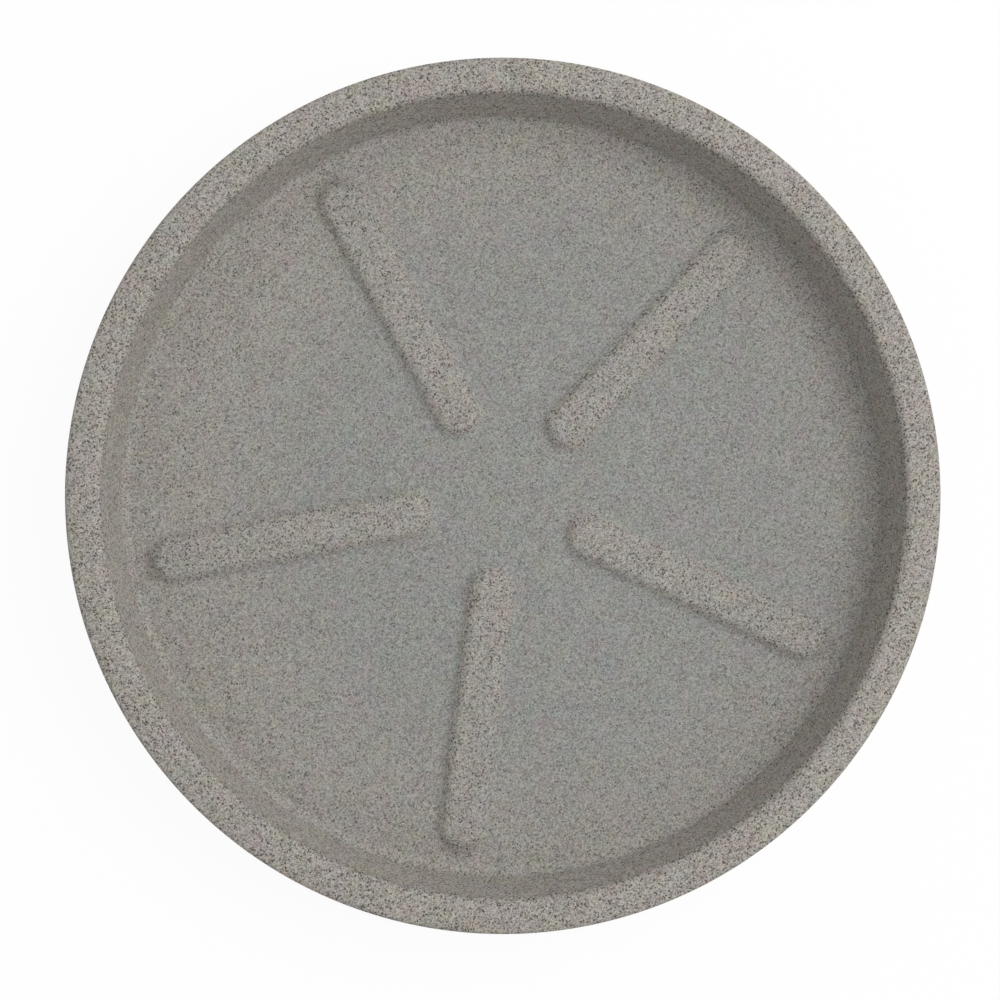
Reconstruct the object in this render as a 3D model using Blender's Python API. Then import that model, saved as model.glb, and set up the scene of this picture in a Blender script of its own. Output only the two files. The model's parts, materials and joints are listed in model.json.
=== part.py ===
"""Round plant saucer: a hollow, double-walled moulding with raised pot ribs, a vent plug and rubber foot pads.

Metres, +Z up. The origin is on the ground under the saucer's centre, and the first rib runs along +Y.
"""

import math

import bmesh
import bpy
from mathutils import Matrix, Vector

# Moulding: corner of the rim before it is rounded, skin, and the hollow between the pan floor and the base
OUTER_DIAMETER = 0.4067
SKIN = 0.0035
HOLLOW_HEIGHT = 0.0107
SKIRT_DRAFT = math.radians(8)
BASE_EDGE_RADIUS = 0.008

# Rim
RIM_WIDTH = 0.0164
RIM_SLOPE = math.radians(5)
RIM_CROWN_RADIUS = 0.040
RIM_INNER_RADIUS = 0.004
RIM_OUTER_RADIUS = 0.0025

# Pan, from the edge of the rim down to its floor
PAN_DEPTH = 0.0345
PAN_DRAFT = math.radians(11)
PAN_FOOT_RADIUS = 0.005

# Ribs that hold the pot off the pan floor
RIB_COUNT = 5
RIB_HEIGHT = 0.004
RIB_WIDTH = 0.0248
RIB_INNER_END = 0.0332
RIB_WALL_GAP = 0.004
RIB_FLANK = math.radians(42)
RIB_EDGE_RADIUS = 0.003

# Underside: a standing ring round a raised middle panel
STANDING_RING_WIDTH = 0.045
PANEL_RISE = 0.002
PANEL_STEP = math.radians(45)
PANEL_EDGE_RADIUS = 0.003

# Foot pads, glued into recesses in the standing ring
PAD_COUNT = 5
PAD_DIAMETER = 0.020
PAD_THICKNESS = 0.0035
PAD_EDGE_RADIUS = 0.001
PAD_INSET = 0.024
PAD_RECESS_DEPTH = 0.0015

# Vent in the middle of the base, and the barbed plug pushed into it
VENT_DIAMETER = 0.012
PLUG_HEAD_OVERLAP = 0.004
PLUG_HEAD_THICKNESS = 0.0016
PLUG_HEAD_EDGE_RADIUS = 0.0008
PLUG_BARB_OVERLAP = 0.0008
PLUG_BARB_HEIGHT = 0.0035
PLUG_NOSE_TAPER = 0.0016
PLUG_WALL = 0.0025
PLUG_SOCKET_DEPTH = 0.0060

# Space left between seated pieces
CLEARANCE = 0.0003

# Fineness of the curves
ROUND_STEPS = 72
ARC_STEP = math.radians(20)
HIDDEN_ARC_STEP = math.radians(45)
FEWEST_ARC_STEPS = 2
RIB_END_STEPS = 8
SMALL_ROUND_STEPS = 24
WELD_DISTANCE = 1e-6
SHARP_ANGLE = math.radians(40)

# Levels above the ground, and the radii that pieces line up on
BASE_LEVEL = PAD_THICKNESS + CLEARANCE - PAD_RECESS_DEPTH
PANEL_LEVEL = BASE_LEVEL + PANEL_RISE
FLOOR_LEVEL = BASE_LEVEL + SKIN + HOLLOW_HEIGHT + SKIN
RIM_EDGE_LEVEL = FLOOR_LEVEL + PAN_DEPTH
RIM_OUTSIDE = OUTER_DIAMETER / 2
PAN_MOUTH = RIM_OUTSIDE - RIM_WIDTH
PAN_FOOT = PAN_MOUTH - PAN_DEPTH * math.tan(PAN_DRAFT)
BASE_CORNER = RIM_OUTSIDE - (RIM_EDGE_LEVEL - BASE_LEVEL) * math.tan(SKIRT_DRAFT)
PANEL_CORNER = BASE_CORNER - STANDING_RING_WIDTH


def rounded(corners, arc_step):
    """Points along a path of (place, radius) corners, with an arc at each corner, limited by its two sides."""
    points = [Vector(corners[0][0])]
    for (before, _), (place, radius), (after, _) in zip(corners, corners[1:], corners[2:]):
        corner = Vector(place)
        back = Vector(before) - corner
        ahead = Vector(after) - corner
        turn = math.pi - back.angle(ahead)
        reach = min(radius * math.tan(turn / 2), back.length / 2, ahead.length / 2)
        if reach == 0:
            points.append(corner)
            continue
        start = corner + back.normalized() * reach
        end = corner + ahead.normalized() * reach
        to_centre = reach / math.tan(turn / 2) / math.cos(turn / 2)
        centre = corner + (back.normalized() + ahead.normalized()).normalized() * to_centre
        sweep = (end - centre).angle_signed(start - centre)
        steps = max(math.ceil(turn / arc_step), FEWEST_ARC_STEPS)
        for step in range(steps + 1):
            points.append(centre + Matrix.Rotation(sweep * step / steps, 2) @ (start - centre))
    points.append(Vector(corners[-1][0]))
    return points


def skinned(corners, thickness):
    """The same path one skin further in, on its right-hand side, with its radii following."""
    places = [Vector(place) for place, _ in corners]
    runs = [(end - start).normalized() for start, end in zip(places, places[1:])]
    sides = [Vector((run.y, -run.x)) for run in runs]
    inner = [(places[0] + sides[0] * thickness, 0)]
    for index in range(1, len(places) - 1):
        side, next_side = sides[index - 1], sides[index]
        mitre = (side + next_side).normalized()
        radius = corners[index][1]
        bends_inwards = runs[index].dot(side) > 0
        inner_radius = max(radius - thickness, 0) if bends_inwards else radius + thickness
        inner.append((places[index] + mitre * thickness / mitre.dot(side), inner_radius))
    inner.append((places[-1] + sides[-1] * thickness, 0))
    return inner


def circle(radius, height, steps):
    """Points of a level circle round the Z axis."""
    turns = [math.tau * step / steps for step in range(steps)]
    return [Vector((radius * math.cos(turn), radius * math.sin(turn), height)) for turn in turns]


def round_ended(half_width, height, start, end):
    """Points of a level outline with two round ends, centred on start and end along +Y."""
    points = []
    for centre, first_turn in ((end, 0), (start, math.pi)):
        for step in range(RIB_END_STEPS + 1):
            turn = first_turn + math.pi * step / RIB_END_STEPS
            x = half_width * math.cos(turn)
            y = centre + half_width * math.sin(turn)
            points.append(Vector((x, y, height)))
    return points


def patterned(loops, count):
    """Copies of the loops, spread evenly round the Z axis."""
    turns = [Matrix.Rotation(math.tau * index / count, 3, "Z") for index in range(count)]
    return [[[turn @ point for point in loop] for loop in loops] for turn in turns]


def add_loop(mesh, points):
    verts = [mesh.verts.new(point) for point in points]
    return [mesh.edges.new(pair) for pair in zip(verts, verts[1:] + verts[:1])]


def add_plate(mesh, loops):
    """A level face inside the first loop, with the other loops as holes or islands in it."""
    edges = [edge for points in loops for edge in add_loop(mesh, points)]
    bmesh.ops.triangle_fill(mesh, edges=edges, use_beauty=True, normal=(0, 0, 1))


def add_loft(mesh, loops):
    """A skin through the loops, closed by a level face on the last one."""
    rows = [add_loop(mesh, points) for points in loops]
    for row, next_row in zip(rows, rows[1:]):
        bmesh.ops.bridge_loops(mesh, edges=row + next_row)
    bmesh.ops.contextual_create(mesh, geom=rows[-1])


def add_turned(mesh, profile, steps):
    """A skin turned round the Z axis from (radius, height) points."""
    verts = [mesh.verts.new((point.x, 0, point.y)) for point in profile]
    edges = [mesh.edges.new(pair) for pair in zip(verts, verts[1:])]
    bmesh.ops.spin(
        mesh, geom=verts + edges, axis=(0, 0, 1), cent=(0, 0, 0), angle=math.tau, steps=steps, use_merge=True
    )


def finished_mesh(name, mesh, material):
    """Welds the skins into one closed surface that faces out, shaded smooth up to its sharp edges."""
    bmesh.ops.remove_doubles(mesh, verts=mesh.verts, dist=WELD_DISTANCE)
    bmesh.ops.recalc_face_normals(mesh, faces=mesh.faces)
    data = bpy.data.meshes.new(name)
    mesh.to_mesh(data)
    mesh.free()
    data.materials.append(material)
    data.shade_smooth()
    data.set_sharp_from_angle(angle=SHARP_ANGLE)
    return data


def add_piece(name, data, location):
    piece = bpy.data.objects.new(name, data)
    piece.location = location
    bpy.context.scene.collection.objects.link(piece)


def plain_material(name, colour, roughness):
    material = bpy.data.materials.new(name)
    material.use_nodes = True
    shader = material.node_tree.nodes["Principled BSDF"]
    shader.inputs["Base Color"].default_value = (*colour, 1)
    shader.inputs["Roughness"].default_value = roughness
    shader.inputs["Metallic"].default_value = 0
    return material


def body_corners():
    """The outside of the moulding from the middle of the pan floor, over the rim, to the vent in the base."""
    rim_middle = RIM_OUTSIDE - RIM_WIDTH / 2
    rim_peak = RIM_EDGE_LEVEL + RIM_WIDTH / 2 * math.tan(RIM_SLOPE)
    panel_start = PANEL_CORNER - PANEL_RISE / math.tan(PANEL_STEP)
    return [
        ((0, FLOOR_LEVEL), 0),
        ((PAN_FOOT, FLOOR_LEVEL), PAN_FOOT_RADIUS),
        ((PAN_MOUTH, RIM_EDGE_LEVEL), RIM_INNER_RADIUS),
        ((rim_middle, rim_peak), RIM_CROWN_RADIUS),
        ((RIM_OUTSIDE, RIM_EDGE_LEVEL), RIM_OUTER_RADIUS),
        ((BASE_CORNER, BASE_LEVEL), BASE_EDGE_RADIUS),
        ((PANEL_CORNER, BASE_LEVEL), PANEL_EDGE_RADIUS),
        ((panel_start, PANEL_LEVEL), PANEL_EDGE_RADIUS),
        ((VENT_DIAMETER / 2, PANEL_LEVEL), 0),
    ]


def rib_corners():
    """Half of a rib's cross-section, from the middle of its top out to the pan floor."""
    foot = RIB_WIDTH / 2
    top = foot - RIB_HEIGHT / math.tan(RIB_FLANK)
    return [
        ((0, FLOOR_LEVEL + RIB_HEIGHT), 0),
        ((top, FLOOR_LEVEL + RIB_HEIGHT), RIB_EDGE_RADIUS),
        ((foot, FLOOR_LEVEL), RIB_EDGE_RADIUS),
        ((RIB_WIDTH, FLOOR_LEVEL), 0),
    ]


def rib_loops(corners, arc_step, outer_end):
    """Outlines of one rib from its foot to its top, for the cross-section given."""
    section = rounded(corners, arc_step)[1:-1]
    start = RIB_INNER_END + RIB_WIDTH / 2
    end = outer_end - RIB_WIDTH / 2
    return [round_ended(half_width, height, start, end) for half_width, height in reversed(section)]


def add_ribbed_floor(mesh, edge, rib_section, arc_step):
    """A floor plate inside the circle at edge, a (radius, height) point, with every rib rising from it."""
    ribs = patterned(rib_loops(rib_section, arc_step, edge.x - RIB_WALL_GAP), RIB_COUNT)
    add_plate(mesh, [circle(edge.x, edge.y, ROUND_STEPS)] + [loops[0] for loops in ribs])
    for loops in ribs:
        add_loft(mesh, loops)


def pad_places():
    """Centres of the foot pads on the ground, each midway between two ribs."""
    middle = Vector((0, -(BASE_CORNER - PAD_INSET), 0))
    return [Matrix.Rotation(math.tau * index / PAD_COUNT, 3, "Z") @ middle for index in range(PAD_COUNT)]


def add_standing_ring(mesh, outer_edge, inner_edge):
    """The flat ring that the saucer stands on, with a recess for each foot pad."""
    recess = PAD_DIAMETER / 2 + CLEARANCE
    levels = (BASE_LEVEL, BASE_LEVEL + PAD_RECESS_DEPTH)
    walls = [circle(recess, level, SMALL_ROUND_STEPS) for level in levels]
    recesses = [[[middle + point for point in loop] for loop in walls] for middle in pad_places()]
    edges = [circle(edge.x, edge.y, ROUND_STEPS) for edge in (outer_edge, inner_edge)]
    add_plate(mesh, edges + [loops[0] for loops in recesses])
    for loops in recesses:
        add_loft(mesh, loops)


def make_saucer_shell(material):
    """The hollow moulding: an outside and an inside skin that meet at the vent."""
    corners = body_corners()
    standing = [place for place, _ in corners].index((BASE_CORNER, BASE_LEVEL))
    over_rim = rounded(corners[: standing + 2], ARC_STEP)[1:-1]
    under_base = rounded(corners[standing:], ARC_STEP)[1:]
    inside = rounded(skinned(corners, SKIN), HIDDEN_ARC_STEP)[1:]
    mesh = bmesh.new()
    add_turned(mesh, over_rim, ROUND_STEPS)
    add_turned(mesh, under_base + inside[::-1], ROUND_STEPS)
    add_ribbed_floor(mesh, over_rim[0], rib_corners(), ARC_STEP)
    add_ribbed_floor(mesh, inside[0], skinned(rib_corners(), SKIN), HIDDEN_ARC_STEP)
    add_standing_ring(mesh, over_rim[-1], under_base[0])
    add_piece("saucer_shell", finished_mesh("saucer_shell", mesh, material), (0, 0, 0))


def make_vent_plug(material):
    """A hollow push-in plug: its head under the base panel, its barb over the inside of the skin."""
    shank = VENT_DIAMETER / 2 - CLEARANCE
    head = VENT_DIAMETER / 2 + PLUG_HEAD_OVERLAP
    barb = VENT_DIAMETER / 2 + PLUG_BARB_OVERLAP
    socket = shank - PLUG_WALL
    head_top = -CLEARANCE
    head_bottom = head_top - PLUG_HEAD_THICKNESS
    barb_bottom = SKIN + CLEARANCE
    barb_top = barb_bottom + PLUG_BARB_HEIGHT
    corners = [
        ((0, head_bottom + PLUG_SOCKET_DEPTH), 0),
        ((socket, head_bottom + PLUG_SOCKET_DEPTH), 0),
        ((socket, head_bottom), 0),
        ((head, head_bottom), PLUG_HEAD_EDGE_RADIUS),
        ((head, head_top), 0),
        ((shank, head_top), 0),
        ((shank, barb_bottom), 0),
        ((barb, barb_bottom), 0),
        ((shank - PLUG_NOSE_TAPER, barb_top), 0),
        ((0, barb_top), 0),
    ]
    mesh = bmesh.new()
    add_turned(mesh, rounded(corners, ARC_STEP), SMALL_ROUND_STEPS)
    add_piece("vent_plug", finished_mesh("vent_plug", mesh, material), (0, 0, PANEL_LEVEL))


def make_foot_pads(material):
    """Round pads that stand on the ground and fill the recesses of the standing ring."""
    radius = PAD_DIAMETER / 2
    corners = [
        ((0, 0), 0),
        ((radius, 0), PAD_EDGE_RADIUS),
        ((radius, PAD_THICKNESS), 0),
        ((0, PAD_THICKNESS), 0),
    ]
    mesh = bmesh.new()
    add_turned(mesh, rounded(corners, ARC_STEP), SMALL_ROUND_STEPS)
    data = finished_mesh("foot_pad", mesh, material)
    for number, middle in enumerate(pad_places(), start=1):
        add_piece(f"foot_pad_{number}", data, middle)


def main():
    for old in list(bpy.data.objects):
        bpy.data.objects.remove(old)
    make_saucer_shell(plain_material("speckled_plastic", (0.29, 0.28, 0.25), 0.8))
    make_vent_plug(plain_material("plug_plastic", (0.045, 0.045, 0.047), 0.5))
    make_foot_pads(plain_material("pad_rubber", (0.030, 0.030, 0.031), 0.85))


main()
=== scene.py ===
"""Looks of the round plant saucer.

A speckled stone-effect moulding, a black vent plug and rubber foot pads, on a white floor.
"""

import json
import math

import bmesh
import bpy
from mathutils import Matrix, Vector


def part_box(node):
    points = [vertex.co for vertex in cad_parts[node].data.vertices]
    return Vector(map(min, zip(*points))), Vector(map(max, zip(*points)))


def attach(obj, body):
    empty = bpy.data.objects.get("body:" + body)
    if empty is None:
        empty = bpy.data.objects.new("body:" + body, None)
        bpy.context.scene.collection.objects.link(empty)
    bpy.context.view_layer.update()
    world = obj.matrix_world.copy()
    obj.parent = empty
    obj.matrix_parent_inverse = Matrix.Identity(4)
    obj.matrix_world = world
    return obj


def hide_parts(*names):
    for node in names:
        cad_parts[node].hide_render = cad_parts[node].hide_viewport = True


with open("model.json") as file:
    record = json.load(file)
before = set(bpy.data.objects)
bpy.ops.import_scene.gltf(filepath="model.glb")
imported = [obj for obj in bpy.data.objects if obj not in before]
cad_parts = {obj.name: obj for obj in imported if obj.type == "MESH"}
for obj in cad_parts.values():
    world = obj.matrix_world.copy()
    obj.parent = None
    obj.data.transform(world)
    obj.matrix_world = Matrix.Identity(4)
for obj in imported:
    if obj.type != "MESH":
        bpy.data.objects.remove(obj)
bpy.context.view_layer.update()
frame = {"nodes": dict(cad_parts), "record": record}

BODY = "root"
MOUNTS = {mount["name"]: Vector(mount["pos_m"]) for mount in frame["record"]["mounts"]}
SHELL_LOW, SHELL_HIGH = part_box("saucer_shell")
PLUG_LOW, PLUG_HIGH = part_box("vent_plug")

# Moulding, in metres: rim corner before it is rounded, then rim, pan and outside wall
RIM_OUTSIDE = 0.20332
RIM_WIDTH = 0.0164
RIM_SLOPE = math.radians(5)
RIM_CROWN_RADIUS = 0.040
RIM_INNER_RADIUS = 0.004
RIM_OUTER_RADIUS = 0.0025
PAN_DEPTH = 0.0345
PAN_DRAFT = math.radians(11)
PAN_FOOT_RADIUS = 0.005
SKIRT_DRAFT = math.radians(8)
BASE_EDGE_RADIUS = 0.008

# Ribs on the pan floor
RIB_COUNT = 5
RIB_HEIGHT = 0.004
RIB_WIDTH = 0.0248
RIB_INNER_END = 0.0332
RIB_WALL_GAP = 0.004
RIB_FLANK = math.radians(42)
RIB_OUTER_END_FLANK = math.radians(36)
RIB_EDGE_RADIUS = 0.005

# Underside
STANDING_RING_WIDTH = 0.045
PANEL_RISE = 0.002
PANEL_STEP = math.radians(45)
PANEL_EDGE_RADIUS = 0.003
PAD_RECESS_DEPTH = 0.0015
VENT_RADIUS = 0.006
VENT_LIP_RADIUS = 0.0005
SKIN = 0.0035
CLEARANCE = 0.0003

# Vent plug, and the chamber round its barb
PLUG_HEAD_THICKNESS = 0.0016
PLUG_HEAD_EDGE_RADIUS = 0.0008
PLUG_BARB_OVERLAP = 0.0008
PLUG_NOSE_TAPER = 0.0016
PLUG_WALL = 0.0025
PLUG_SOCKET_DEPTH = 0.0060
PLUG_SOCKET_LIP = 0.0004
CHAMBER_MARGIN = 2 * SKIN

# Foot pads
PAD_EDGE_RADIUS = 0.001

# Fineness of the meshes, and the strip that is left beside a rounded corner
ROUND_STEPS = 288
SMALL_ROUND_STEPS = 96
RIB_END_STEPS = 32
CORNER_STEPS = 10
SUPPORT = 0.0015
WELD_DISTANCE = 1e-6

# Levels above the ground and radii that follow from them
BASE_LEVEL = SHELL_LOW.z
PANEL_LEVEL = BASE_LEVEL + PANEL_RISE
FLOOR_LEVEL = MOUNTS["pot_seat_1"].z - RIB_HEIGHT
RIM_EDGE_LEVEL = FLOOR_LEVEL + PAN_DEPTH
PAN_MOUTH = RIM_OUTSIDE - RIM_WIDTH
PAN_FOOT = PAN_MOUTH - PAN_DEPTH * math.tan(PAN_DRAFT)
BASE_CORNER = RIM_OUTSIDE - (RIM_EDGE_LEVEL - BASE_LEVEL) * math.tan(SKIRT_DRAFT)
PANEL_CORNER = BASE_CORNER - STANDING_RING_WIDTH

# Photo: its viewing height over the rim, the width that its frame spans there, and how the saucer
# lies in it
VIEW_HEIGHT = 1.1
VIEW_WIDTH = 0.4620
VIEW_TURN = math.radians(-28.9)
VIEW_CENTRE_SHIFT = Vector((-0.0030, -0.0021))
VIEW_OFFSET = Vector((-0.048, -0.005))
SENSOR_WIDTH = 36

# Studio: an even sky, and two soft lamps at the photo's right, each with its height, distance, size
# and the brightness that it gives to white paper
WHITE = (1, 1, 1, 1)
SKY_STRENGTH = 0.540
LAMP_BEARING = math.radians(22)
LAMPS = {
    "key_lamp": (math.radians(62), 1.9, 1.07, 0.430),
    "broad_lamp": (math.radians(45), 2.4, 3.6, 0.295),
}

# White floor: half its width, its paper, how plain white it shows beside the saucer, and the
# distances from the axis between which the rest of the shadow on it fades out
FLOOR_REACH = 12
PAPER_WHITE = (0.9, 0.9, 0.9, 1)
FLOOR_WHITENESS = 0.94
SHADOW_FADE = (0.30, 1.20)

# Noise: its mean, which chance values share, and the range in which most of it lies
NOISE_MEAN = 0.5
NOISE_RANGE = (0.3, 0.7)

# Zones of the moulding: the heights or radii at which each begins and is full, for the ribs as shares
# of their height, where the floor ends, and how far the edges that go by height wander
ZONE_EDGE = 0.0015
RIM_ZONE = (RIM_EDGE_LEVEL - 2 * RIM_INNER_RADIUS, RIM_EDGE_LEVEL - RIM_INNER_RADIUS / 2)
OUTSIDE_ZONE = (PAN_MOUTH + ZONE_EDGE, PAN_MOUTH + 3 * ZONE_EDGE)
RIB_SPECK_RISE = (0.12, 0.50)
FLOOR_END = (PAN_FOOT - 3 * ZONE_EDGE, PAN_FOOT - ZONE_EDGE)
WALL_ZONE = (PAN_FOOT - ZONE_EDGE, PAN_FOOT + ZONE_EDGE)
EDGE_WANDER = 0.003

# Stone-effect plastic, its tone: cool in the middle of the pan floor, which is a little off the axis,
# warmer towards the floor's edge, on the ribs, on the wall and on the rim, with faint tints in patches;
# and painted light that makes the pan wall paler, lifting the shade on it
FLOOR_GREY = (0.2665, 0.266, 0.2495, 1)
RIM_GREY = (0.327, 0.304, 0.273, 1)
COOL_MIDDLE = (0.0183, -0.0123, 0)
WARM_FLOOR = (0.100, 0.178)
WARM_FLOOR_SHARE = 0.72
WARM_RIB_SHARE = 0.75
# Painted light: the pan wall is made a little paler, which lifts the shade on it
WALL_PAINTED_LIGHT = 0.035
TINT_SIZE = 0.009
TINT_DETAIL = 2.0
TINT_STRENGTH = 0.11

# Its specks: the shares of the rim's specks elsewhere, how far they are drawn out upwards, which shows
# on the wall, then pale and dark grains, and brown flecks with bent outlines, stronger in clumps
FLOOR_EDGE_SPECKS = 0.42
RIB_SPECKS = 0.60
WALL_SPECKS = 0.25
WALL_STRETCH = 1.8
GRAIN_SIZE = 0.00055
FLOOR_GRAIN = 0.75
RIM_GRAIN = 0.92
FLECK_BROWN = (0.070, 0.060, 0.051, 1)
FLECK_SIZE = 0.00115
FLECK_EDGE = (0.30, 0.50)
FLECK_CHANCE = (0.05, 1.0)
FLECK_BEND = 0.0011
FLOOR_FLECK = 0.58
RIM_FLECK = 1.25
CLUMP_SIZE = 0.0035
CLUMP_STRENGTH = (0.60, 1.50)

# Its surface, with pits of the size of the grains
PIT_DETAIL = 2.0
PIT_STRENGTH = 0.25
PIT_DEPTH = 0.0002
PLASTIC_ROUGHNESS = (0.72, 0.86)

# Plastic of the plug, with a fine texture
PLUG_BLACKS = ((0.040, 0.040, 0.042, 1), (0.052, 0.052, 0.054, 1))
PLUG_TEXTURE_SIZE = 0.0004
PLUG_TEXTURE_DETAIL = 3.0
PLUG_TEXTURE_STRENGTH = 0.3
PLUG_TEXTURE_DEPTH = 0.00005
PLUG_ROUGHNESS = (0.42, 0.60)

# Rubber of the pads, with pores, and a bloom that shows in its colour and its roughness
PAD_BLACKS = ((0.026, 0.026, 0.027, 1), (0.041, 0.041, 0.042, 1))
PORE_SIZE = 0.0006
PORE_DETAIL = 4.0
PORE_STRENGTH = 0.4
PORE_DEPTH = 0.0001
BLOOM_SIZE = 0.006
BLOOM_DETAIL = 3.0
BLOOM_COLOUR_RANGE = (0.45, 0.75)
BLOOM_ROUGHNESS_RANGE = (0.3, 0.8)
PAD_ROUGHNESS = (0.78, 0.92)


def wire(mesh, corners):
    """A wire through (radius, height, corner radius) points in the XZ plane, its corners rounded."""
    places = [Vector((x, 0, z)) for x, z, _ in corners]
    verts = [mesh.verts.new(place) for place in places]
    for pair in zip(verts, verts[1:]):
        mesh.edges.new(pair)
    for index in range(1, len(corners) - 1):
        radius = corners[index][2]
        if radius:
            before, corner, after = places[index - 1 : index + 2]
            turn = math.pi - (before - corner).angle(after - corner)
            bmesh.ops.bevel(
                mesh,
                geom=[verts[index]],
                offset=radius * math.tan(turn / 2),
                segments=CORNER_STEPS,
                profile=0.5,
                affect="VERTICES",
                material=-1,
                clamp_overlap=True,
            )


def turned(mesh, corners, steps):
    """A wire turned all the way round the Z axis."""
    profile = bmesh.new()
    wire(profile, corners)
    bmesh.ops.spin(
        profile,
        geom=profile.verts[:] + profile.edges[:],
        axis=(0, 0, 1),
        cent=(0, 0, 0),
        angle=math.tau,
        steps=steps,
        use_merge=True,
    )
    join(mesh, profile)


def join(mesh, part):
    """Moves a part's geometry into the mesh."""
    data = bpy.data.meshes.new("part")
    part.to_mesh(data)
    part.free()
    mesh.from_mesh(data)
    bpy.data.meshes.remove(data)


def weld(mesh):
    bmesh.ops.remove_doubles(mesh, verts=mesh.verts, dist=WELD_DISTANCE)


def of_kind(items, *kinds):
    """Those of a mesh's items that are vertices, edges or faces, as asked."""
    return [item for item in items if isinstance(item, kinds)]


def fill_level(mesh, height, inside, outside):
    """A level face between all the open edges at one height whose ends lie between two radii."""
    edges = []
    for edge in mesh.edges:
        places = [vert.co for vert in edge.verts]
        level = all(abs(place.z - height) < WELD_DISTANCE for place in places)
        in_ring = all(inside < place.xy.length < outside for place in places)
        if len(edge.link_faces) < 2 and level and in_ring:
            edges.append(edge)
    bmesh.ops.triangle_fill(mesh, edges=edges, use_beauty=True, normal=(0, 0, 1))


def put_in_scene(name, data):
    """A new object with this data."""
    made = bpy.data.objects.new(name, data)
    bpy.context.scene.collection.objects.link(made)
    return made


def finish_piece(name, mesh, material, node):
    """A piece that stands for a node of the frame, welded, facing out and shaded smooth."""
    weld(mesh)
    bmesh.ops.recalc_face_normals(mesh, faces=mesh.faces)
    data = bpy.data.meshes.new(name)
    mesh.to_mesh(data)
    mesh.free()
    data.materials.append(material)
    data.shade_smooth()
    piece = put_in_scene(name, data)
    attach(piece, BODY)
    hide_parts(node)


def add_rib(mesh, floor_edge, turn):
    """One round-ended rib along +Y, then turned to its place.

    Its section is spun round each end and drawn along. The outer end leans in, so that it slopes more
    gently than the flanks.
    """
    foot = RIB_WIDTH / 2
    top = foot - RIB_HEIGHT / math.tan(RIB_FLANK)
    rib_top = FLOOR_LEVEL + RIB_HEIGHT
    inner_centre = Vector((0, RIB_INNER_END + foot, 0))
    outer_centre = Vector((0, floor_edge - RIB_WALL_GAP - foot, 0))
    rib = bmesh.new()
    wire(
        rib,
        [
            (0, rib_top, 0),
            (top - RIB_EDGE_RADIUS, rib_top, 0),
            (top, rib_top, RIB_EDGE_RADIUS),
            (foot, FLOOR_LEVEL, RIB_EDGE_RADIUS),
            (foot + RIB_WALL_GAP / 2, FLOOR_LEVEL, 0),
        ],
    )
    bmesh.ops.translate(rib, verts=rib.verts, vec=outer_centre)
    section = rib.verts[:] + rib.edges[:]
    length = outer_centre - inner_centre
    for centre, along in ((outer_centre, -length), (inner_centre, length)):
        spun = bmesh.ops.spin(
            rib,
            geom=section,
            axis=(0, 0, 1),
            cent=centre,
            angle=math.pi,
            steps=RIB_END_STEPS,
        )
        edges = of_kind(spun["geom_last"], bmesh.types.BMEdge)
        drawn = bmesh.ops.extrude_edge_only(rib, edges=edges)["geom"]
        section = of_kind(drawn, bmesh.types.BMVert, bmesh.types.BMEdge)
        bmesh.ops.translate(rib, verts=of_kind(section, bmesh.types.BMVert), vec=along)
    weld(rib)
    outer_end = [vert for vert in rib.verts if vert.co.y > outer_centre.y - WELD_DISTANCE]
    lean = 1 / math.tan(RIB_FLANK) - 1 / math.tan(RIB_OUTER_END_FLANK)
    on_floor = Matrix.Translation((0, 0, FLOOR_LEVEL))
    leaning = on_floor @ Matrix.Shear("XY", 4, (0, lean)) @ on_floor.inverted()
    bmesh.ops.transform(rib, verts=outer_end, matrix=leaning)
    bmesh.ops.rotate(rib, verts=rib.verts, cent=(0, 0, 0), matrix=Matrix.Rotation(turn, 3, "Z"))
    join(mesh, rib)


def add_pad_recess(mesh, middle, radius):
    """A round recess in the standing ring, open downwards."""
    recess = bmesh.new()
    ring = bmesh.ops.create_circle(recess, segments=SMALL_ROUND_STEPS, radius=radius)["verts"]
    bmesh.ops.translate(recess, verts=ring, vec=(middle.x, middle.y, BASE_LEVEL))
    drawn = bmesh.ops.extrude_edge_only(recess, edges=recess.edges[:])["geom"]
    top = of_kind(drawn, bmesh.types.BMVert)
    bmesh.ops.translate(recess, verts=top, vec=(0, 0, PAD_RECESS_DEPTH))
    bmesh.ops.contextual_create(recess, geom=of_kind(drawn, bmesh.types.BMEdge))
    join(mesh, recess)


def pad_nodes():
    return sorted(name for name in frame["nodes"] if name.startswith("foot_pad"))


def pad_middle_and_radius(node):
    low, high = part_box(node)
    return (low + high) / 2, (high.x - low.x) / 2


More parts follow.
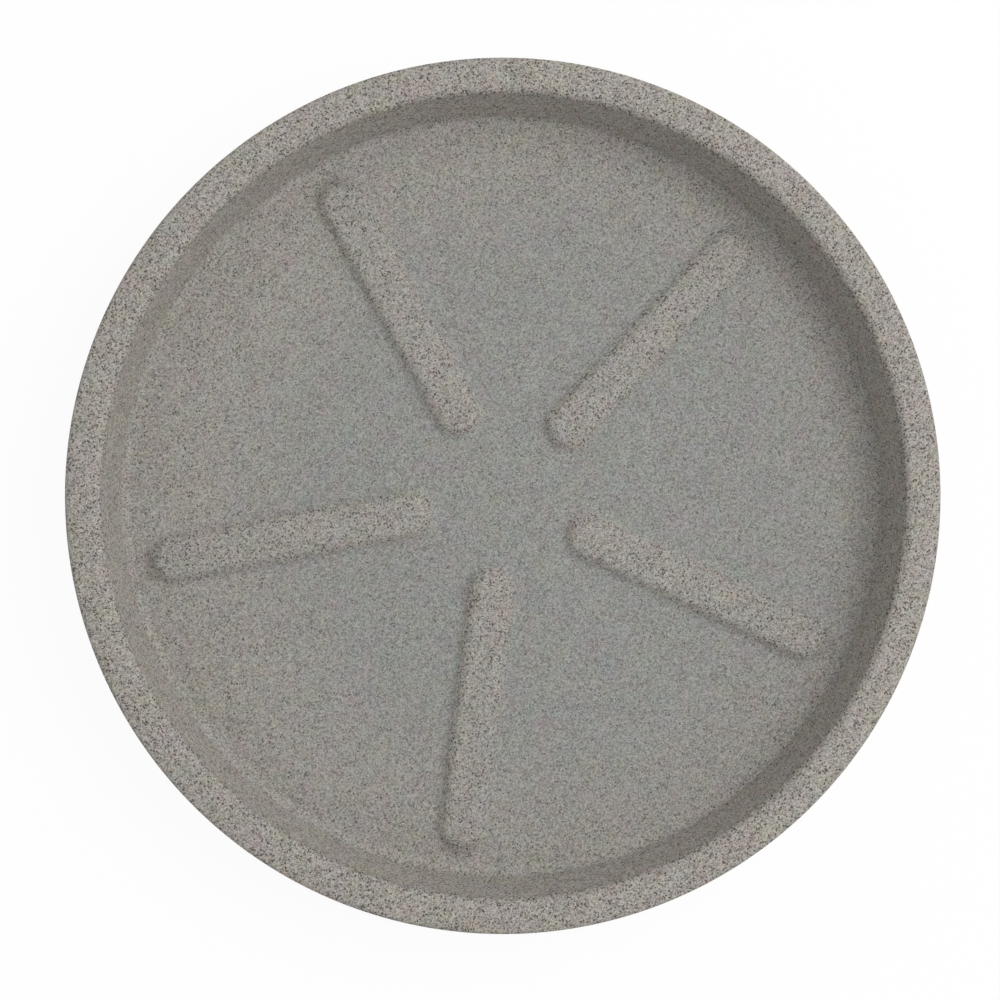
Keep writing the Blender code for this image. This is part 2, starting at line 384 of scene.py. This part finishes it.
def make_moulding(material):
    """The saucer's outside, from the pan floor over the rim and under the base.

    A small chamber inside the vent leaves room for the plug.
    """
    rim_middle = RIM_OUTSIDE - RIM_WIDTH / 2
    rim_peak = RIM_EDGE_LEVEL + RIM_WIDTH / 2 * math.tan(RIM_SLOPE)
    panel_start = PANEL_CORNER - PANEL_RISE / math.tan(PANEL_STEP)
    floor_edge = PAN_FOOT - PAN_FOOT_RADIUS * math.tan((math.pi / 2 - PAN_DRAFT) / 2)
    ring_outside = BASE_CORNER - BASE_EDGE_RADIUS - SUPPORT
    ring_inside = PANEL_CORNER + PANEL_EDGE_RADIUS
    chamber = VENT_RADIUS + CHAMBER_MARGIN
    chamber_top = PLUG_HIGH.z + CLEARANCE
    mesh = bmesh.new()
    turned(
        mesh,
        [
            (floor_edge - SUPPORT, FLOOR_LEVEL, 0),
            (PAN_FOOT, FLOOR_LEVEL, PAN_FOOT_RADIUS),
            (PAN_MOUTH, RIM_EDGE_LEVEL, RIM_INNER_RADIUS),
            (rim_middle, rim_peak, RIM_CROWN_RADIUS),
            (RIM_OUTSIDE, RIM_EDGE_LEVEL, RIM_OUTER_RADIUS),
            (BASE_CORNER, BASE_LEVEL, BASE_EDGE_RADIUS),
            (ring_outside, BASE_LEVEL, 0),
        ],
        ROUND_STEPS,
    )
    turned(
        mesh,
        [
            (ring_inside, BASE_LEVEL, 0),
            (PANEL_CORNER, BASE_LEVEL, PANEL_EDGE_RADIUS),
            (panel_start, PANEL_LEVEL, PANEL_EDGE_RADIUS),
            (VENT_RADIUS + VENT_LIP_RADIUS + SUPPORT, PANEL_LEVEL, 0),
            (VENT_RADIUS, PANEL_LEVEL, VENT_LIP_RADIUS),
            (VENT_RADIUS, PANEL_LEVEL + SKIN, 0),
            (chamber, PANEL_LEVEL + SKIN, 0),
            (chamber, chamber_top, 0),
            (0, chamber_top, 0),
        ],
        ROUND_STEPS,
    )
    for index in range(RIB_COUNT):
        add_rib(mesh, floor_edge, math.tau * index / RIB_COUNT)
    for node in pad_nodes():
        middle, radius = pad_middle_and_radius(node)
        add_pad_recess(mesh, middle, radius + CLEARANCE)
    weld(mesh)
    fill_level(mesh, FLOOR_LEVEL, 0, floor_edge)
    fill_level(mesh, BASE_LEVEL, PANEL_CORNER, BASE_CORNER)
    finish_piece("saucer_moulding", mesh, material, "saucer_shell")


def make_plug(material):
    """The vent plug: a flat head with a moulding socket in it, a shank and a barbed nose."""
    shank = VENT_RADIUS - CLEARANCE
    head = PLUG_HIGH.x
    barb = VENT_RADIUS + PLUG_BARB_OVERLAP
    socket = shank - PLUG_WALL
    head_top = PLUG_LOW.z + PLUG_HEAD_THICKNESS
    barb_bottom = PANEL_LEVEL + SKIN + CLEARANCE
    socket_top = PLUG_LOW.z + PLUG_SOCKET_DEPTH
    mesh = bmesh.new()
    turned(
        mesh,
        [
            (0, socket_top, 0),
            (socket, socket_top, 0),
            (socket, PLUG_LOW.z, PLUG_SOCKET_LIP),
            (head, PLUG_LOW.z, PLUG_HEAD_EDGE_RADIUS),
            (head, head_top, 0),
            (shank, head_top, 0),
            (shank, barb_bottom, 0),
            (barb, barb_bottom, 0),
            (shank - PLUG_NOSE_TAPER, PLUG_HIGH.z, 0),
            (0, PLUG_HIGH.z, 0),
        ],
        SMALL_ROUND_STEPS,
    )
    finish_piece("vent_plug_moulded", mesh, material, "vent_plug")


def make_pad(node, material):
    """One round rubber pad with a softened foot."""
    low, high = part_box(node)
    middle, radius = pad_middle_and_radius(node)
    mesh = bmesh.new()
    turned(
        mesh,
        [
            (0, low.z, 0),
            (radius, low.z, PAD_EDGE_RADIUS),
            (radius, high.z, 0),
            (0, high.z, 0),
        ],
        SMALL_ROUND_STEPS,
    )
    bmesh.ops.translate(mesh, verts=mesh.verts, vec=(middle.x, middle.y, 0))
    finish_piece(f"{node}_rubber", mesh, material, node)


def shader_node(tree, kind, inputs, **settings):
    """A node with its settings and its inputs, each of them a value or the output of another node."""
    made = tree.nodes.new(kind)
    for name, value in settings.items():
        setattr(made, name, value)
    for socket, value in inputs.items():
        if isinstance(value, bpy.types.NodeSocket):
            tree.links.new(value, made.inputs[socket])
        else:
            made.inputs[socket].default_value = value
    return made


def sum_of(tree, first, second):
    return shader_node(tree, "ShaderNodeMath", {0: first, 1: second}, operation="ADD").outputs[0]


def product_of(tree, first, second):
    inputs = {0: first, 1: second}
    return shader_node(tree, "ShaderNodeMath", inputs, operation="MULTIPLY").outputs[0]


def larger_of(tree, first, second):
    inputs = {0: first, 1: second}
    return shader_node(tree, "ShaderNodeMath", inputs, operation="MAXIMUM").outputs[0]


def centred(tree, value):
    """A noise or a chance value moved so that its mean is 0."""
    return sum_of(tree, value, -NOISE_MEAN)


def between(tree, value, low, high, at_low=0.0, at_high=1.0):
    """A value that goes smoothly from at_low to at_high as another goes from low to high."""
    inputs = {"Value": value, "From Min": low, "From Max": high, "To Min": at_low, "To Max": at_high}
    made = shader_node(tree, "ShaderNodeMapRange", inputs, interpolation_type="SMOOTHSTEP")
    return made.outputs["Result"]


def vector_math(tree, operation, inputs):
    """The outputs of one operation on vectors or colours."""
    return shader_node(tree, "ShaderNodeVectorMath", inputs, operation=operation).outputs


def scaled(tree, vector, scale):
    return vector_math(tree, "SCALE", {0: vector, "Scale": scale})[0]


def blended(tree, factor, first, second):
    """A colour between two others."""
    inputs = {"Factor": factor, 6: first, 7: second}
    return shader_node(tree, "ShaderNodeMix", inputs, data_type="RGBA").outputs[2]


def cloud(tree, place, size, detail=1.0):
    """Soft noise from 0 to 1 with lumps of about one size: its value, and a colour of three values."""
    inputs = {"Vector": place, "Scale": 1 / size, "Detail": detail}
    return shader_node(tree, "ShaderNodeTexNoise", inputs).outputs


def cells(tree, place, size):
    """Grains of about one size.

    Gives the distance from the middle of the nearest, in grain sizes, and its own chance value.
    """
    inputs = {"Vector": place, "Scale": 1 / size}
    nearest = shader_node(tree, "ShaderNodeTexVoronoi", inputs).outputs
    chance = shader_node(tree, "ShaderNodeSeparateColor", {0: nearest["Color"]}).outputs["Red"]
    return nearest["Distance"], chance


def from_axis(tree, place, middle=(0, 0, 0)):
    """The distance of a place from the Z axis, or from another upright through a middle."""
    flat = vector_math(tree, "MULTIPLY", {0: place, 1: (1, 1, 0)})[0]
    return vector_math(tree, "DISTANCE", {0: flat, 1: middle})["Value"]


def new_material(name):
    """An empty procedural material: its node tree, its shader and the place on the piece."""
    material = bpy.data.materials.new(name)
    material.use_nodes = True
    tree = material.node_tree
    place = tree.nodes.new("ShaderNodeTexCoord").outputs["Object"]
    return material, tree, tree.nodes["Principled BSDF"], place


def raise_surface(tree, shader, height, strength, depth):
    """A fine relief that follows a noise."""
    inputs = {"Height": height, "Strength": strength, "Distance": depth}
    bump = shader_node(tree, "ShaderNodeBump", inputs)
    tree.links.new(bump.outputs[0], shader.inputs["Normal"])


def zones(tree, place):
    """Where the rim with the outside, the ribs and the pan wall are: 1 on each and 0 elsewhere."""
    height = shader_node(tree, "ShaderNodeSeparateXYZ", {0: place}).outputs["Z"]
    wander = product_of(tree, centred(tree, cloud(tree, place, EDGE_WANDER)[0]), EDGE_WANDER)
    height = sum_of(tree, height, wander)
    radius = from_axis(tree, place)
    top = between(tree, height, *RIM_ZONE)
    outside = between(tree, radius, *OUTSIDE_ZONE)
    rib_rise = [FLOOR_LEVEL + RIB_HEIGHT * share for share in RIB_SPECK_RISE]
    rib_tops = between(tree, height, *rib_rise)
    on_floor = between(tree, radius, *FLOOR_END, 1.0, 0.0)
    wall = between(tree, radius, *WALL_ZONE)
    return larger_of(tree, top, outside), product_of(tree, rib_tops, on_floor), wall


def speckled_plastic():
    """Matte stone-effect plastic.

    It has fine pale and dark grains all through it, and brown flecks that are stronger on the rim and
    the ribs.
    """
    material, tree, shader, place = new_material("speckled_plastic")
    rim, ribs, wall = zones(tree, place)

    from_middle = from_axis(tree, place, COOL_MIDDLE)
    warm_floor = between(tree, from_middle, *WARM_FLOOR, 0.0, WARM_FLOOR_SHARE)
    warmth = larger_of(tree, larger_of(tree, rim, wall), product_of(tree, ribs, WARM_RIB_SHARE))
    warmth = larger_of(tree, warmth, warm_floor)
    grey = blended(tree, warmth, FLOOR_GREY, RIM_GREY)
    patches = cloud(tree, place, TINT_SIZE, TINT_DETAIL)["Color"]
    tint = blended(tree, TINT_STRENGTH, WHITE, scaled(tree, patches, 1 / NOISE_MEAN))
    grey = vector_math(tree, "MULTIPLY", {0: grey, 1: tint})[0]

    on_wall = product_of(tree, wall, WALL_SPECKS)
    on_ribs = product_of(tree, ribs, RIB_SPECKS)
    on_floor_edge = product_of(tree, warm_floor, FLOOR_EDGE_SPECKS)
    specks = larger_of(tree, rim, larger_of(tree, on_wall, on_ribs))
    specks = larger_of(tree, specks, on_floor_edge)

    drawn = vector_math(tree, "MULTIPLY", {0: place, 1: (1, 1, 1 / WALL_STRETCH)})[0]
    grain = centred(tree, cells(tree, drawn, GRAIN_SIZE)[1])
    grain = product_of(tree, grain, between(tree, specks, 0.0, 1.0, FLOOR_GRAIN, RIM_GRAIN))
    # Painted light: the pan wall below the rim is made paler, lifting the shade on it
    painted_wall_light = product_of(tree, wall, between(tree, rim, 0.0, 1.0, WALL_PAINTED_LIGHT, 0.0))
    tone = sum_of(tree, sum_of(tree, grain, 1.0), painted_wall_light)
    grained = scaled(tree, grey, tone)

    bend = scaled(tree, cloud(tree, place, FLECK_SIZE)["Color"], FLECK_BEND)
    bent = vector_math(tree, "ADD", {0: drawn, 1: bend})[0]
    from_fleck, darkness = cells(tree, bent, FLECK_SIZE)
    fleck = between(tree, from_fleck, *FLECK_EDGE, 1.0, 0.0)
    fleck = product_of(tree, fleck, between(tree, darkness, *FLECK_CHANCE))
    clumps = cloud(tree, place, CLUMP_SIZE)[0]
    fleck = product_of(tree, fleck, between(tree, clumps, *NOISE_RANGE, *CLUMP_STRENGTH))
    fleck = product_of(tree, fleck, between(tree, specks, 0.0, 1.0, FLOOR_FLECK, RIM_FLECK))
    tree.links.new(blended(tree, fleck, grained, FLECK_BROWN), shader.inputs["Base Color"])

    pits = cloud(tree, place, GRAIN_SIZE, PIT_DETAIL)[0]
    raise_surface(tree, shader, pits, PIT_STRENGTH, PIT_DEPTH)
    roughness = between(tree, pits, *NOISE_RANGE, *PLASTIC_ROUGHNESS)
    tree.links.new(roughness, shader.inputs["Roughness"])
    return material


def plug_plastic():
    """Black injection-moulded plastic with a fine spark-eroded texture."""
    material, tree, shader, place = new_material("plug_plastic")
    texture = cloud(tree, place, PLUG_TEXTURE_SIZE, PLUG_TEXTURE_DETAIL)[0]
    tree.links.new(blended(tree, texture, *PLUG_BLACKS), shader.inputs["Base Color"])
    roughness = between(tree, texture, *NOISE_RANGE, *PLUG_ROUGHNESS)
    tree.links.new(roughness, shader.inputs["Roughness"])
    raise_surface(tree, shader, texture, PLUG_TEXTURE_STRENGTH, PLUG_TEXTURE_DEPTH)
    return material


def pad_rubber():
    """Dull black rubber with fine pores and a faint bloom in patches."""
    material, tree, shader, place = new_material("pad_rubber")
    pores = cloud(tree, place, PORE_SIZE, PORE_DETAIL)[0]
    bloom = cloud(tree, place, BLOOM_SIZE, BLOOM_DETAIL)[0]
    colour = blended(tree, between(tree, bloom, *BLOOM_COLOUR_RANGE), *PAD_BLACKS)
    tree.links.new(colour, shader.inputs["Base Color"])
    roughness = between(tree, bloom, *BLOOM_ROUGHNESS_RANGE, *PAD_ROUGHNESS)
    tree.links.new(roughness, shader.inputs["Roughness"])
    raise_surface(tree, shader, pores, PORE_STRENGTH, PORE_DEPTH)
    return material


def seen_rays(tree):
    """1 for the rays that show what they meet, and 0 for those that only light.

    Rays of the first kind come from the camera, from a reflection or through glass.
    """
    rays = tree.nodes.new("ShaderNodeLightPath").outputs
    shown = sum_of(tree, rays["Is Camera Ray"], rays["Is Glossy Ray"])
    return sum_of(tree, shown, rays["Is Transmission Ray"])


def white_floor():
    """White paper: it lights as paper does, and shows plain white with a faint shadow."""
    material, tree, shader, place = new_material("white_floor")
    tree.nodes.remove(shader)
    whiteness = between(tree, from_axis(tree, place), *SHADOW_FADE, FLOOR_WHITENESS, 1.0)
    whiteness = product_of(tree, seen_rays(tree), whiteness)
    paper = shader_node(tree, "ShaderNodeBsdfDiffuse", {"Color": PAPER_WHITE}).outputs[0]
    glow = shader_node(tree, "ShaderNodeEmission", {"Color": WHITE, "Strength": 1.0}).outputs[0]
    mix = shader_node(tree, "ShaderNodeMixShader", {0: whiteness, 1: paper, 2: glow}).outputs[0]
    tree.links.new(mix, tree.nodes["Material Output"].inputs["Surface"])
    return material


def make_camera():
    """Straight down on the saucer, a little to one side, turned so that the ribs lie as in the photo."""
    data = bpy.data.cameras.new("camera")
    camera = put_in_scene("camera", data)
    turn = Matrix.Rotation(VIEW_TURN, 3, "Z")
    target = turn @ Vector((*VIEW_CENTRE_SHIFT, 0)) + Vector((0, 0, SHELL_HIGH.z))
    camera.location = target + turn @ Vector((*VIEW_OFFSET, VIEW_HEIGHT))
    look = (target - camera.location).normalized()
    up = turn @ Vector((0, 1, 0))
    right = look.cross(up).normalized()
    camera.rotation_euler = Matrix((right, right.cross(look), -look)).transposed().to_euler()
    data.sensor_width = SENSOR_WIDTH
    data.lens = SENSOR_WIDTH * (target - camera.location).length / VIEW_WIDTH
    bpy.context.scene.camera = camera


def make_stage():
    """The white floor under the saucer."""
    floor = bpy.data.meshes.new("floor")
    mesh = bmesh.new()
    bmesh.ops.create_grid(mesh, x_segments=1, y_segments=1, size=FLOOR_REACH)
    mesh.to_mesh(floor)
    mesh.free()
    floor.materials.append(white_floor())
    piece = put_in_scene("floor", floor)


def make_lights():
    """The two lamps, and the sky, which shows plain white where it is looked at."""
    turn = Matrix.Rotation(VIEW_TURN + LAMP_BEARING, 3, "Z")
    for name, (height, distance, size, strength) in LAMPS.items():
        data = bpy.data.lights.new(name, "AREA")
        data.size = size
        data.energy = strength * (math.pi * distance) ** 2
        lamp = put_in_scene(name, data)
        lamp.location = turn @ Vector((math.cos(height), 0, math.sin(height))) * distance
        lamp.rotation_euler = lamp.location.to_track_quat("Z", "Y").to_euler()
        lamp.visible_camera = False
    world = bpy.data.worlds.new("studio")
    world.use_nodes = True
    tree = world.node_tree
    background = tree.nodes["Background"]
    background.inputs["Color"].default_value = WHITE
    brightness = between(tree, seen_rays(tree), 0.0, 1.0, SKY_STRENGTH, 1.0)
    tree.links.new(brightness, background.inputs["Strength"])
    bpy.context.scene.world = world


make_moulding(speckled_plastic())
make_plug(plug_plastic())
rubber = pad_rubber()
for pad_node in pad_nodes():
    make_pad(pad_node, rubber)
make_camera()
make_stage()
make_lights()
bpy.context.scene.view_settings.view_transform = "Standard"
